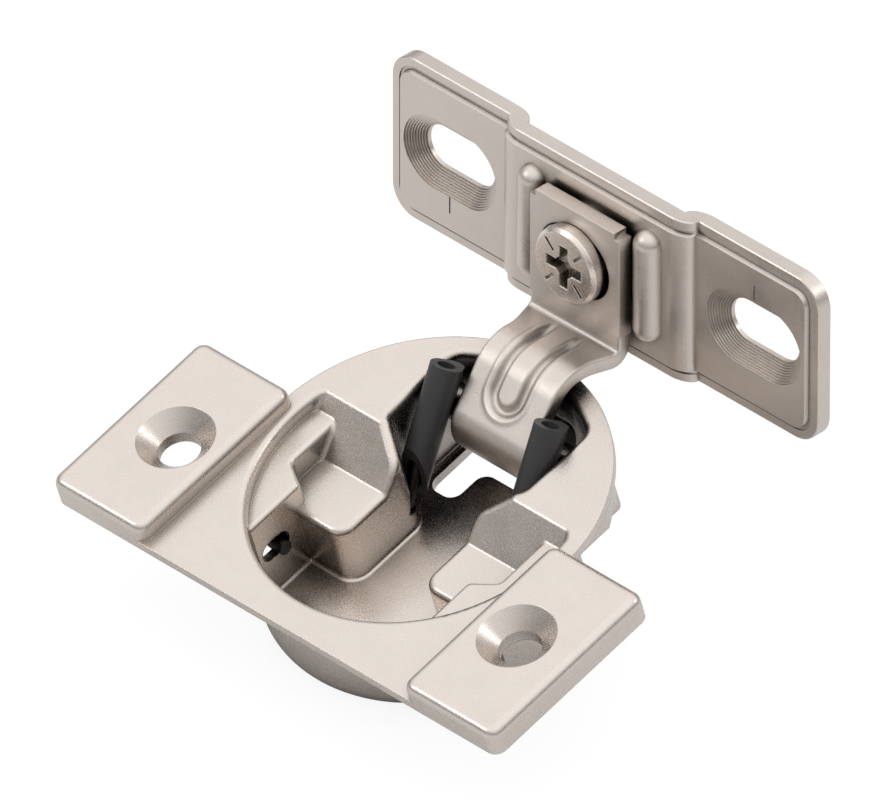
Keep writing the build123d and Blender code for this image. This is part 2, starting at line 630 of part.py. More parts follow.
# Cup, drawn from one sheet with its flange and ears
with BuildPart() as cup:
    with BuildSketch(CUP):
        Circle(FLANGE_RADIUS)
        with Locations((0, -FLANGE_FRONT / 2)):
            Rectangle(2 * (EAR_INNER + EAR_RISE), FLANGE_FRONT)
        with Locations((0, -FLANGE_FRONT - FLANGE_RADIUS / 2)):
            Rectangle(2 * EAR_OUTER, FLANGE_RADIUS, mode=Mode.SUBTRACT)
    extrude(amount=-CUP_SHEET)
    with BuildSketch(CUP):
        Circle(CUP_RADIUS)
    extrude(amount=-CUP_SHEET - LEDGE_DEPTH)
    with BuildSketch(CUP.offset(-CUP_SHEET - LEDGE_DEPTH)):
        Circle(CUP_RADIUS)
        Rectangle(2 * lobe_outer, BIG, mode=Mode.INTERSECT)
    extrude(amount=LEDGE_DEPTH - SHELF_DEPTH)
    with BuildSketch(CUP.offset(-CUP_SHEET - SHELF_DEPTH)):
        Circle(CUP_RADIUS)
        with Locations((0, CUP_DEEP_BACK + BIG / 2)):
            Rectangle(BIG, BIG, mode=Mode.INTERSECT)
        Rectangle(2 * CUP_SIDE_FLAT, BIG, mode=Mode.INTERSECT)
    extrude(amount=CUP_SHEET + SHELF_DEPTH - CUP_BACK_DEPTH)
    with BuildSketch(CUP.offset(-CUP_SHEET - SHELF_DEPTH)):
        with Locations((0, (SHELF_FRONT_V + CUP_DEEP_BACK) / 2)):
            Rectangle(2 * lobe_outer, CUP_DEEP_BACK - SHELF_FRONT_V)
        with Locations((0, -CUP_RADIUS / 2)):
            Rectangle(2 * front_outer, CUP_RADIUS)
        with Locations((0, CUP_RADIUS / 2)):
            Rectangle(2 * bay_outer, CUP_RADIUS)
        Circle(CUP_RADIUS, mode=Mode.INTERSECT)
    extrude(amount=CUP_SHEET + SHELF_DEPTH - CUP_DEPTH)
    heel_edges = cup.faces().sort_by(CUP_AXIS)[0].edges().filter_by(
        lambda edge: abs(CUP.to_local_coords(edge.center()).X) < front_outer + 0.01
    )
    fillet(heel_edges, radius=CUP_HEEL)
    with BuildSketch(CUP.offset(-CUP_SHEET)):
        with Locations((-ear_x, ear_v), (ear_x, ear_v)):
            RectangleRounded(ear_width, ear_length, EAR_CORNER)
    extrude(amount=CUP_SHEET + EAR_RISE)
    ear_tops = cup.faces().sort_by(CUP_AXIS)[-2:]
    fillet(ear_tops.edges(), radius=EAR_ROUND)
    add(hollow.part, mode=Mode.SUBTRACT)
    # Rounded rim and inner edges; the rounding runs on along every smooth chain of edges
    rim_edges = cup.edges().filter_by(
        lambda edge: abs(in_cup(edge).Z) < NEAR
        and in_cup(edge).Y > SLOPE_TOP_V - NEAR
        and hypot(in_cup(edge).X, in_cup(edge).Y) < inner_radius + NEAR
    )
    side_edges = cup.edges().filter_by(
        lambda edge: -SHELF_DEPTH + NEAR < in_cup(edge).Z < -NEAR
        and SLOPE_FOOT_V < in_cup(edge).Y < SLOPE_TOP_V
        and abs(in_cup(edge).X) < BAY_HALF
    )
    fillet(rim_edges + side_edges, radius=EDGE_ROUND)
    for shape in (lobe_hollow.part, ear_hollow.part):
        add(shape, mode=Mode.SUBTRACT)
        add(mirror(shape, about=Plane.YZ, mode=Mode.PRIVATE), mode=Mode.SUBTRACT)
    # Floor opening, with a tongue left in the middle
    with BuildSketch(CUP.offset(-CUP_DEPTH - 1)) as floor_plan:
        with BuildLine():
            floor_line = Polyline(
                (0, FLOOR_TONGUE_END),
                (FLOOR_TONGUE_HALF, FLOOR_TONGUE_END),
                (FLOOR_TONGUE_HALF, FLOOR_SLOT_START),
                (BAY_HALF - FLOOR_LIP, FLOOR_SLOT_START),
                (BAY_HALF - FLOOR_LIP, bay_back_v - 2 * FLOOR_LIP),
                (0, bay_back_v - FLOOR_LIP),
            )
            mirror(floor_line, about=Plane.YZ)
        make_face()
        fillet(
            floor_plan.vertices().filter_by(lambda corner: abs(corner.X) > 1),
            radius=FLOOR_CORNER,
        )
    extrude(amount=CUP_SHEET + 2, mode=Mode.SUBTRACT)
    # Pin holes, ear holes and the windows for the springs' hooks
    with BuildSketch(Plane.YZ):
        with Locations(pivot):
            Circle(PIN_RADIUS)
    extrude(amount=bay_outer, both=True, mode=Mode.SUBTRACT)
    with BuildSketch(CUP.offset(EAR_RISE)):
        with Locations((-hole_x, EAR_HOLE_V), (hole_x, EAR_HOLE_V)):
            Circle(EAR_SINK_RADIUS)
    extrude(amount=EAR_HOLE_RADIUS - EAR_SINK_RADIUS, taper=45, mode=Mode.SUBTRACT)
    with BuildSketch(CUP.offset(EAR_RISE)):
        with Locations((-hole_x, EAR_HOLE_V), (hole_x, EAR_HOLE_V)):
            Circle(EAR_HOLE_RADIUS)
    extrude(amount=-BIG / 2, mode=Mode.SUBTRACT)
    for side in SIDES:
        with BuildSketch(side_plane(side * (LEDGE_FRONT_X - 1))):
            with Locations((WINDOW_V, WINDOW_N)):
                SlotOverall(WINDOW_LENGTH, WINDOW_HEIGHT)
        extrude(amount=side * (CUP_SHEET + 2), mode=Mode.SUBTRACT)
        # Slot in the lobe's front wall, where the spring's leg comes out
        leg_from = cup_point(side * leg_x, *leg_end)
        leg_to = cup_point(side * leg_x, *hook)
        with BuildSketch(rod_plane(leg_from, leg_to)):
            Circle(WIRE_RADIUS + WIRE_GAP)
        extrude(amount=FRONT_LEG + CUP_SHEET, mode=Mode.SUBTRACT)
        # Room for the coil
        with BuildSketch(side_plane(side * channel_foot)):
            with Locations((COIL_V, COIL_N)):
                Circle(COIL_RADIUS + WIRE_RADIUS + WIRE_GAP)
        extrude(amount=side * (lobe_inner - channel_foot), mode=Mode.SUBTRACT)
        # Way for the sleeve
        way_from = cup_point(side * LEG_PLANE_X, SLEEVE_TOP_V, SLEEVE_TOP_N)
        way_to = cup_point(side * LEG_PLANE_X, *sleeve_foot)
        skip = (SLEEVE_CLEAR_N - SLEEVE_TOP_N) / sleeve_run[1]
        with BuildSketch(rod_plane(way_from, way_to).offset(skip)):
            Circle(SLEEVE_RADIUS + SLEEVE_CLEAR)
        extrude(amount=SLEEVE_LENGTH - skip + 1, mode=Mode.SUBTRACT)
cup.part.label = "cup"

# Springs: a leg into the sleeve, the coil, and a leg whose hook goes through the window
coil_centre = cup_point(LEG_PLANE_X, COIL_V, COIL_N)
first_point = cup_point(LEG_PLANE_X, *leg_start)
last_point = cup_point(leg_x, *leg_end)
hook_corner = cup_point(leg_x, *hook)
hook_tip = cup_point(leg_x - HOOK_REACH, *hook)
leg_top = cup_point(
    LEG_PLANE_X,
    SLEEVE_TOP_V + WIRE_RECESS * sleeve_run[0],
    SLEEVE_TOP_N + WIRE_RECESS * sleeve_run[1],
)
coil_plane = Plane(origin=coil_centre, x_dir=first_point - coil_centre, z_dir=(1, 0, 0))
coil = coil_plane * Helix(
    pitch=COIL_PITCH, height=leg_x - LEG_PLANE_X, radius=COIL_RADIUS, lefthand=True
)
with BuildPart() as spring_right:
    with BuildSketch(rod_plane(first_point, leg_top).offset(KNUCKLE_GAP)):
        Circle(WIRE_RADIUS)
    extrude(amount=(leg_top - first_point).length - KNUCKLE_GAP)
    front_start = last_point + (hook_corner - last_point).normalized() * KNUCKLE_GAP
    with BuildLine() as front_leg:
        FilletPolyline(front_start, hook_corner, hook_tip, radius=HOOK_BEND)
    with BuildSketch(rod_plane(front_start, hook_corner)):
        Circle(WIRE_RADIUS)
    sweep(path=front_leg.line)
    # Round knuckles where the coil runs out into its legs
    for knuckle in (rod_plane(first_point, leg_top), rod_plane(last_point, hook_corner)):
        with Locations(knuckle):
            Sphere(KNUCKLE_RADIUS)
    with BuildSketch(Plane(origin=coil @ 0, z_dir=coil % 0)):
        Circle(WIRE_RADIUS)
    sweep(path=coil, is_frenet=True)
spring_right.part.label = "spring_right"

with BuildPart() as spring_left:
    mirror(spring_right.part, about=Plane.YZ)
spring_left.part.label = "spring_left"

# Sleeves over the springs' upper legs, with a lobe at the top and a slanted foot
sleeve_top = cup_point(LEG_PLANE_X, SLEEVE_TOP_V, SLEEVE_TOP_N)
sleeve_end = cup_point(LEG_PLANE_X, *sleeve_foot)
sleeve_plane = Plane(origin=sleeve_top, x_dir=(1, 0, 0), z_dir=sleeve_end - sleeve_top)
with BuildPart() as sleeve_right:
    with BuildSketch(sleeve_plane):
        Circle(SLEEVE_RADIUS)
    extrude(amount=SLEEVE_LENGTH)
    with BuildSketch(sleeve_plane):
        with Locations((0, -SLEEVE_LOBE)):
            Circle(SLEEVE_LOBE_RADIUS)
        with Locations((0, -SLEEVE_LOBE / 2)):
            Rectangle(2 * SLEEVE_LOBE_RADIUS, SLEEVE_LOBE)
    extrude(amount=SLEEVE_LOBE_LENGTH)
    with BuildSketch(Plane(origin=sleeve_top, x_dir=sleeve_end - sleeve_top, z_dir=(-1, 0, 0))):
        with BuildLine():
            Polyline(
                (SLEEVE_LENGTH - SLEEVE_CUT, SLEEVE_RADIUS),
                (SLEEVE_LENGTH, -SLEEVE_RADIUS),
                (SLEEVE_LENGTH + 1, -SLEEVE_RADIUS),
                (SLEEVE_LENGTH + 1, 2 * SLEEVE_RADIUS),
                (SLEEVE_LENGTH - SLEEVE_CUT, 2 * SLEEVE_RADIUS),
                close=True,
            )
        make_face()
    extrude(amount=SLEEVE_RADIUS, both=True, mode=Mode.SUBTRACT)
    with BuildSketch(sleeve_plane):
        Circle(WIRE_RADIUS + WIRE_GAP)
    extrude(amount=SLEEVE_LENGTH, mode=Mode.SUBTRACT)
sleeve_right.part.label = "sleeve_right"

with BuildPart() as sleeve_left:
    mirror(sleeve_right.part, about=Plane.YZ)
sleeve_left.part.label = "sleeve_left"

export_step(plate.part, "parts/mounting_plate.step")
export_step(arm.part, "parts/arm.step")
export_step(screw.part, "parts/cam_screw.step")
export_step(pin.part, "parts/hinge_pin.step")
export_step(cup.part, "parts/cup.step")
for piece in (spring_left, spring_right, sleeve_left, sleeve_right):
    export_step(piece.part, f"parts/{piece.part.label}.step")
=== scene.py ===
# %% [markdown]
# # A concealed cabinet hinge
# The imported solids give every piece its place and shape. This notebook dresses them: satin
# nickel on the pressed steel, dark plastic on the sleeves, oiled wire on the springs, and a
# plain studio round it all.

# %% Frame
import math

import bmesh
import bpy
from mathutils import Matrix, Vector


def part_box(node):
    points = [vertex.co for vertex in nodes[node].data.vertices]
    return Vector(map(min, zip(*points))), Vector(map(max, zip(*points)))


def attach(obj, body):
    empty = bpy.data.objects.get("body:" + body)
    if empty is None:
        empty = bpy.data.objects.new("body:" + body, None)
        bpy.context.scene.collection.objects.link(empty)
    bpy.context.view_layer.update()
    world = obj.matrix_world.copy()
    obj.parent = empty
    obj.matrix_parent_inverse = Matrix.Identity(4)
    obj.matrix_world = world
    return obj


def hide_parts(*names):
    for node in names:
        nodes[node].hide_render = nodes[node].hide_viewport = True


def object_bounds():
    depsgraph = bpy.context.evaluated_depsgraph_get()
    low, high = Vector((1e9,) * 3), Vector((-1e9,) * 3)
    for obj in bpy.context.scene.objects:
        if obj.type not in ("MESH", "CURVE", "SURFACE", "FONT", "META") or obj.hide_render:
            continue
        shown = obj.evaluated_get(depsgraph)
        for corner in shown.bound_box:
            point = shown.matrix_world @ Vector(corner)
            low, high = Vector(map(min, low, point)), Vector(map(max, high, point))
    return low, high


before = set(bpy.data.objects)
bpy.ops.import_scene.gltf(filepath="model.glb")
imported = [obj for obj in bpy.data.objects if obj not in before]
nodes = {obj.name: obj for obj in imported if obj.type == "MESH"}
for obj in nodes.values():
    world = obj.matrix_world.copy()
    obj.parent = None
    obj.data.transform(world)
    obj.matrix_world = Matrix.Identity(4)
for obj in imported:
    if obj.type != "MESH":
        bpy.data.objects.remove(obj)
cad_low, cad_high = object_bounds()
MM = 0.001
print("nodes", sorted(nodes))
print("size in mm", [round(v / MM, 1) for v in cad_high - cad_low])

# %% [markdown]
# ## Camera
# Catalogue pictures of fittings are often drawn in isometric view: 45 degrees round and
# 35.26 degrees up, with no vanishing points. A very long lens far away gives that look and
# still is a real camera, so other views can move it.

# %% Camera
IMAGE_WIDTH = 891
SENSOR = 36.0
PIXELS_PER_MM = 10.736
CAMERA_DISTANCE = 3.3
VIEW_BACK = Vector((1, -1, 1)).normalized()
AIM = Vector((0, -22.56, -6.94)) * MM
CLIP_NEAR = 0.5
CLIP_FAR = 60.0

scene = bpy.context.scene
camera_data = bpy.data.cameras.new("camera")
camera_data.sensor_width = SENSOR
camera_data.lens = SENSOR * PIXELS_PER_MM * CAMERA_DISTANCE / MM / IMAGE_WIDTH
camera_data.clip_start = CLIP_NEAR
camera_data.clip_end = CLIP_FAR
camera = bpy.data.objects.new("camera", camera_data)
scene.collection.objects.link(camera)
camera.location = AIM + VIEW_BACK * CAMERA_DISTANCE
camera.rotation_euler = VIEW_BACK.to_track_quat("Z", "Y").to_euler()
scene.camera = camera
scene.view_settings.view_transform = "Standard"
print("lens in mm", round(camera_data.lens, 1))

# %% [markdown]
# ## A node group for the finishes
# Nickel plating over pressed steel has a fine, grainy sparkle, and moulded plastic has a
# little of it too. Every finish uses this grain, so it is a node group with its own inputs.

# %% Helpers for node trees
FLOAT = "NodeSocketFloat"
COLOUR = "NodeSocketColor"


def add_node(tree, kind, **settings):
    """A node with its properties and named inputs set."""
    node = tree.nodes.new(kind)
    inputs = settings.pop("inputs", {})
    for key, value in settings.items():
        setattr(node, key, value)
    for key, value in inputs.items():
        node.inputs[key].default_value = value
    return node


def new_group(name, inputs, outputs):
    """An empty shader group with float or colour sockets."""
    tree = bpy.data.node_groups.new(name, "ShaderNodeTree")
    for socket, kind, value in inputs:
        made = tree.interface.new_socket(socket, in_out="INPUT", socket_type=kind)
        made.default_value = value
    for socket, kind in outputs:
        tree.interface.new_socket(socket, in_out="OUTPUT", socket_type=kind)
    return tree, tree.nodes.new("NodeGroupInput"), tree.nodes.new("NodeGroupOutput")


# %% Grain group
SPECKLE_SCALE = 8000.0
CLOUD_SCALE = 260.0
NOISE_LOW = 0.3
NOISE_HIGH = 0.7


def make_grain_group():
    """Fine speckle of plated steel, as a colour, a roughness and a height."""
    tree, entry, result = new_group(
        "plating_grain",
        [
            ("Colour", COLOUR, (0.5, 0.5, 0.5, 1)),
            ("Speckle Scale", FLOAT, SPECKLE_SCALE),
            ("Speckle Amount", FLOAT, 0.08),
            ("Roughness", FLOAT, 0.35),
            ("Roughness Spread", FLOAT, 0.08),
        ],
        [("Colour", COLOUR), ("Roughness", FLOAT), ("Height", FLOAT)],
    )
    link = tree.links.new
    coordinates = add_node(tree, "ShaderNodeTexCoord")
    fine = add_node(tree, "ShaderNodeTexNoise", inputs={"Detail": 3.0, "Roughness": 0.7})
    link(coordinates.outputs["Object"], fine.inputs["Vector"])
    link(entry.outputs["Speckle Scale"], fine.inputs["Scale"])
    cloud = add_node(
        tree,
        "ShaderNodeTexNoise",
        inputs={"Scale": CLOUD_SCALE, "Detail": 4.0, "Roughness": 0.6},
    )
    link(coordinates.outputs["Object"], cloud.inputs["Vector"])
    swing = add_node(
        tree,
        "ShaderNodeMapRange",
        inputs={"From Min": NOISE_LOW, "From Max": NOISE_HIGH, "To Min": -1.0},
    )
    link(fine.outputs["Fac"], swing.inputs["Value"])
    cloud_swing = add_node(
        tree,
        "ShaderNodeMapRange",
        inputs={"From Min": NOISE_LOW, "From Max": NOISE_HIGH, "To Min": -0.5, "To Max": 0.5},
    )
    link(cloud.outputs["Fac"], cloud_swing.inputs["Value"])
    total = add_node(tree, "ShaderNodeMath", operation="ADD")
    link(swing.outputs["Result"], total.inputs[0])
    link(cloud_swing.outputs["Result"], total.inputs[1])
    gain = add_node(tree, "ShaderNodeMath", operation="MULTIPLY_ADD", inputs={2: 1.0})
    link(total.outputs[0], gain.inputs[0])
    link(entry.outputs["Speckle Amount"], gain.inputs[1])
    tint = add_node(tree, "ShaderNodeVectorMath", operation="SCALE")
    link(entry.outputs["Colour"], tint.inputs[0])
    link(gain.outputs[0], tint.inputs["Scale"])
    link(tint.outputs["Vector"], result.inputs["Colour"])
    rough = add_node(tree, "ShaderNodeMath", operation="MULTIPLY_ADD", use_clamp=True)
    link(total.outputs[0], rough.inputs[0])
    link(entry.outputs["Roughness Spread"], rough.inputs[1])
    link(entry.outputs["Roughness"], rough.inputs[2])
    link(rough.outputs[0], result.inputs["Roughness"])
    link(fine.outputs["Fac"], result.inputs["Height"])
    return tree


grain_group = make_grain_group()
print("group", grain_group.name, len(grain_group.nodes), "nodes")

# %% [markdown]
# ## Satin nickel
# The plating is a warm grey metal. Deep in a recess its colour is darkened by the room
# round each point, which is painted shade. The pressed edges are slightly round and
# catch the light. The rest of light and shade comes from the studio.

# %% Satin nickel
NICKEL = (0.70, 0.634, 0.582, 1)
BRIGHT_NICKEL = (0.86, 0.785, 0.725, 1)
OILED_STEEL = (0.05, 0.05, 0.05, 1)
EDGE_RADIUS = 0.16 * MM
CRISP_EDGE = 0.03 * MM
# The recess numbers set painted shade: the colour darkens to a quarter where little room is
# found round a point.
RECESS_DEPTH = 7 * MM
RECESS_DEEP = 0.28
RECESS_OPEN = 0.76
RECESS_PAINTED_SHADE = 0.25
GRAIN_HEIGHT = 0.04 * MM
RAYS = 6


def make_nickel(name, colour, roughness, speckle, bump, edge_radius=EDGE_RADIUS):
    """Nickel-plated steel with a fine grain, painted shade in recesses, and edges that catch
    the light.
    """
    material = bpy.data.materials.new(name)
    material.use_nodes = True
    tree = material.node_tree
    shader = tree.nodes["Principled BSDF"]
    shader.inputs["Metallic"].default_value = 1.0
    grain = add_node(tree, "ShaderNodeGroup", node_tree=grain_group)
    grain.inputs["Colour"].default_value = colour
    grain.inputs["Roughness"].default_value = roughness
    grain.inputs["Speckle Amount"].default_value = speckle
    link = tree.links.new
    # Painted shade: the colour is darkened where ambient occlusion finds little room round a
    # point, deep in recesses.
    recess = add_node(
        tree, "ShaderNodeAmbientOcclusion", samples=RAYS, inputs={"Distance": RECESS_DEPTH}
    )
    depth = add_node(
        tree,
        "ShaderNodeMapRange",
        inputs={"From Min": RECESS_DEEP, "From Max": RECESS_OPEN, "To Min": RECESS_PAINTED_SHADE},
    )
    link(recess.outputs["AO"], depth.inputs["Value"])
    painted_shade = add_node(tree, "ShaderNodeVectorMath", operation="SCALE")
    link(grain.outputs["Colour"], painted_shade.inputs[0])
    link(depth.outputs["Result"], painted_shade.inputs["Scale"])
    link(painted_shade.outputs["Vector"], shader.inputs["Base Color"])
    link(grain.outputs["Roughness"], shader.inputs["Roughness"])
    edge = add_node(tree, "ShaderNodeBevel", samples=RAYS, inputs={"Radius": edge_radius})
    relief = add_node(
        tree, "ShaderNodeBump", inputs={"Strength": bump, "Distance": GRAIN_HEIGHT}
    )
    link(grain.outputs["Height"], relief.inputs["Height"])
    link(edge.outputs["Normal"], relief.inputs["Normal"])
    link(relief.outputs["Normal"], shader.inputs["Normal"])
    return material


pressed_nickel = make_nickel(
    "pressed_nickel", NICKEL, roughness=0.26, speckle=0.06, bump=0.35
)
plate_nickel = make_nickel(
    "plate_nickel", NICKEL, roughness=0.34, speckle=0.06, bump=0.35, edge_radius=CRISP_EDGE
)
arm_nickel = make_nickel("arm_nickel", NICKEL, roughness=0.36, speckle=0.08, bump=0.5)
turned_nickel = make_nickel(
    "turned_nickel", BRIGHT_NICKEL, roughness=0.24, speckle=0.02, bump=0.15
)
spring_wire = make_nickel("spring_wire", OILED_STEEL, roughness=0.35, speckle=0.1, bump=0.1)
metals = (pressed_nickel, plate_nickel, arm_nickel, turned_nickel, spring_wire)
print("metals", [metal.name for metal in metals])

# %% Sleeve plastic
SLEEVE_GREY = (0.042, 0.041, 0.042, 1)


def make_sleeve_plastic():
    """Dark grey moulded plastic with a soft gloss."""
    material = bpy.data.materials.new("sleeve_plastic")
    material.use_nodes = True
    tree = material.node_tree
    shader = tree.nodes["Principled BSDF"]
    grain = add_node(tree, "ShaderNodeGroup", node_tree=grain_group)
    grain.inputs["Colour"].default_value = SLEEVE_GREY
    grain.inputs["Roughness"].default_value = 0.42
    grain.inputs["Speckle Amount"].default_value = 0.12
    link = tree.links.new
    link(grain.outputs["Colour"], shader.inputs["Base Color"])
    link(grain.outputs["Roughness"], shader.inputs["Roughness"])
    return material


sleeve_plastic = make_sleeve_plastic()
print("plastic", sleeve_plastic.name)

# %% [markdown]
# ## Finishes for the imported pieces
# These pieces already have their true shape, so they only get a material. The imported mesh
# of each stays as it is, because the joints and the checks know it in that form.

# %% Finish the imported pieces
FINISH = {
    "cup": pressed_nickel,
    "cam_screw": turned_nickel,
    "hinge_pin": turned_nickel,
    "sleeve_left": sleeve_plastic,
    "sleeve_right": sleeve_plastic,
}
for name, material in FINISH.items():
    piece = nodes[name]
    piece.data.materials.clear()
    piece.data.materials.append(material)
print("finished", len(FINISH), "packed pieces")

# %% [markdown]
# ## The arm
# The arm is one strip of steel, folded off its tab, bent down over the neck and rolled into
# an eye round the pin. A press stamps a U-shaped bead into the neck, which keeps the bends
# from opening. The strip follows a rule, a profile swept along a path, so it is made in mesh
# code: stations along the path, a rounded section at each, and the stamped bead as a
# function of the distance from a U-shaped line.

# %% Arm path
ARM_SHEET = 1.6 * MM
TAB_HALF = 5.875 * MM
ARM_HALF = 5.0 * MM
FOLD_RADIUS = 1.4 * MM
FOLD_Z = -6.6 * MM
SHOULDER_REACH = 3.58 * MM
NECK_RADIUS = 3.9 * MM
NECK_TURN = math.radians(55)
PANEL_LENGTH = 4.98 * MM
EYE_RADIUS = 2.65 * MM
EYE_WRAP = math.radians(285)
STRIP_TOP_Z = -5.6 * MM
STATION_STEP = 0.16 * MM

tab_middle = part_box("arm")[1].y - ARM_SHEET / 2
fold_centre = Vector((tab_middle - FOLD_RADIUS, FOLD_Z))
neck_centre = fold_centre - Vector((SHOULDER_REACH, FOLD_RADIUS + NECK_RADIUS))


def side_step(angle):
    """Unit step in the side view, at an angle from the back towards the top."""
    return Vector((math.cos(angle), math.sin(angle)))


def straight(start, end, outward):
    """Stations on a straight run: place and outward direction."""
    count = max(2, round((end - start).length / STATION_STEP))
    return [(start.lerp(end, i / count), outward) for i in range(count)]


def bend(centre, radius, first, turn, side):
    """Stations on a bend; side is -1 where the strip's face looks to the centre."""
    count = max(8, round(abs(turn) * radius / STATION_STEP))
    steps = [side_step(first + turn * i / count) for i in range(count)]
    return [(centre + radius * step, side * step) for step in steps]


neck_end = math.pi / 2 + NECK_TURN
panel_out = side_step(neck_end)
panel_run = side_step(neck_end + math.pi / 2)
panel_top = neck_centre + NECK_RADIUS * panel_out
panel_foot = panel_top + PANEL_LENGTH * panel_run
eye_centre = panel_foot - EYE_RADIUS * panel_out
up = Vector((0, 1))
stations = (
    straight(Vector((tab_middle, STRIP_TOP_Z)), Vector((tab_middle, FOLD_Z)), Vector((-1, 0)))
    + bend(fold_centre, FOLD_RADIUS, 0, -math.pi / 2, -1)
    + straight(fold_centre - FOLD_RADIUS * up, neck_centre + NECK_RADIUS * up, up)
    + bend(neck_centre, NECK_RADIUS, math.pi / 2, NECK_TURN, 1)
    + straight(panel_top, panel_foot, panel_out)
    + bend(eye_centre, EYE_RADIUS, neck_end, EYE_WRAP, 1)
)
print("arm stations", len(stations), "eye at mm", [round(v / MM, 3) for v in eye_centre])

# %% Arm width and bead
FLARE_START = 0.9 * MM
FLARE_END = 0.6 * MM
BEAD_LINE = 1.66 * MM
BEAD_GROOVE = 0.64 * MM
BEAD_DEPTH = 0.55 * MM
BEAD_LIP = 0.07 * MM
BEAD_LIP_OUT = 0.95 * MM
BEAD_FLOOR = 0.15 * MM
BEAD_LIP_SPREAD = 0.25 * MM
BEAD_LEAD = 0.2 * MM
BEAD_FADE = 2.4 * MM
BEAD_END = 1.5 * MM


def share_between(low, high, value):
    """0 at low, 1 at high, in proportion between and held at the ends."""
    return min(1.0, max(0.0, (value - low) / (high - low)))


def smooth_step(low, high, value):
    """0 below low, 1 above high, and an even curve between."""
    share = share_between(low, high, value)
    return share * share * (3 - 2 * share)


def half_width(place):
    """The strip flares from the neck to the wider tab."""
    share = smooth_step(neck_centre.x + FLARE_END, fold_centre.x + FLARE_START, place.x)
    return ARM_HALF + share * (TAB_HALF - ARM_HALF)


shoulder_run = STRIP_TOP_Z - FOLD_Z + FOLD_RADIUS * math.pi / 2
bead_start = shoulder_run - BEAD_LEAD
bead_end = shoulder_run + SHOULDER_REACH + NECK_RADIUS * NECK_TURN + BEAD_END


def press_depth(run, x):
    """How deep the press pushes the face in, at a run along the strip and a place across."""
    off_line = abs(x) - BEAD_LINE
    if run > bead_end:
        off_line = math.hypot(x, run - bead_end) - BEAD_LINE
    groove = 1 - smooth_step(BEAD_FLOOR, BEAD_GROOVE, abs(off_line))
    lip = math.exp(-(((off_line - BEAD_LIP_OUT) / BEAD_LIP_SPREAD) ** 2))
    fade = smooth_step(bead_start, bead_start + BEAD_FADE, run)
    past = 1 - smooth_step(bead_end + 2 * BEAD_LINE, bead_end + 3 * BEAD_LINE, run)
    return fade * past * (BEAD_DEPTH * groove - BEAD_LIP * lip)


print("bead in mm", round(bead_start / MM, 2), "to", round(bead_end / MM, 2))

# %% Arm strip
EDGE_CURVE = 0.25 * MM
EDGE_STEPS = 4
ACROSS = 72


def strip_section(half):
    """The rounded section: across the face, round both edges and across the back."""
    flat = half - EDGE_CURVE
    rise = ARM_SHEET / 2 - EDGE_CURVE
    face = [(-flat + 2 * flat * i / ACROSS, ARM_SHEET / 2) for i in range(ACROSS + 1)]
    right = []
    for corner, first in ((rise, math.pi / 2), (-rise, 0.0)):
        for i in range(1, EDGE_STEPS + 1):
            angle = first - math.pi / 2 * i / EDGE_STEPS
            across = flat + EDGE_CURVE * math.cos(angle)
            right.append((across, corner + EDGE_CURVE * math.sin(angle)))
    back = [(-x, -h) for x, h in face[1:]]
    left = [(-x, -h) for x, h in right]
    return face + right + back + left[:-1]


def skin(shape, rings):
    """Faces from each ring to the next, and a cap on the first and the last."""
    count = len(rings[0])
    for first, second in zip(rings, rings[1:]):
        for i in range(count):
            j = (i + 1) % count
            shape.faces.new((first[i], first[j], second[j], second[i]))
    shape.faces.new(rings[0])
    shape.faces.new(list(reversed(rings[-1])))
    bmesh.ops.recalc_face_normals(shape, faces=shape.faces)


def make_strip():
    """The swept strip as a closed mesh."""
    shape = bmesh.new()
    rings = []
    run = 0.0
    before = stations[0][0]
    for place, outward in stations:
        run += (place - before).length
        before = place
        ring = []
        for x, height in strip_section(half_width(place)):
            pressed = press_depth(run, x) * (1.0 if height > 0 else 0.0)
            spot = place + (height - pressed) * outward
            ring.append(shape.verts.new((x, spot.x, spot.y)))
        rings.append(ring)
    skin(shape, rings)
    return shape


# %% Arm mesh
ARM_CREASE = math.radians(35)
WELD = 0.001 * MM


def everything(shape):
    """All corners, edges and faces of a mesh in the making."""
    return list(shape.verts) + list(shape.edges) + list(shape.faces)


def add_tab(shape):
    """The tab above the strip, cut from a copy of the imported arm."""
    tab = bmesh.new()
    tab.from_mesh(nodes["arm"].data)
    bmesh.ops.remove_doubles(tab, verts=tab.verts, dist=WELD)
    cut = bmesh.ops.bisect_plane(
        tab,
        geom=everything(tab),
        plane_co=(0, 0, STRIP_TOP_Z),
        plane_no=(0, 0, 1),
        clear_inner=True,
    )
    rim = [item for item in cut["geom_cut"] if isinstance(item, bmesh.types.BMEdge)]
    bmesh.ops.holes_fill(tab, edges=rim)
    spare = bpy.data.meshes.new("tab_part")
    tab.to_mesh(spare)
    tab.free()
    shape.from_mesh(spare)
    bpy.data.meshes.remove(spare)


def make_arm():
    """Strip and tab as one piece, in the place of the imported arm."""
    shape = make_strip()
    add_tab(shape)
    mesh = bpy.data.meshes.new("pressed_arm")
    shape.to_mesh(mesh)
    shape.free()
    mesh.shade_smooth()
    mesh.set_sharp_from_angle(angle=ARM_CREASE)
    mesh.materials.append(arm_nickel)
    arm = bpy.data.objects.new("pressed_arm", mesh)
    scene.collection.objects.link(arm)
    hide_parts("arm")
    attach(arm, "arm")
    return arm


pressed_arm = make_arm()
print("arm faces", len(pressed_arm.data.polygons))

# %% [markdown]
# ## The mounting plate
# The plate is one strip with a low raised panel, two slots sunk in fine steps and two ribs
# that guide the arm's tab. It is made flat first, as a loft of rounded outlines at rising
# depths, with the slots cut by stepped plugs. Only then is it joggled: the mesh is cut into
# narrow bands where the bends come, and each point moves forward by the bend's own curve.

# %% Outlines and lofts
CORNER_STEPS = 10


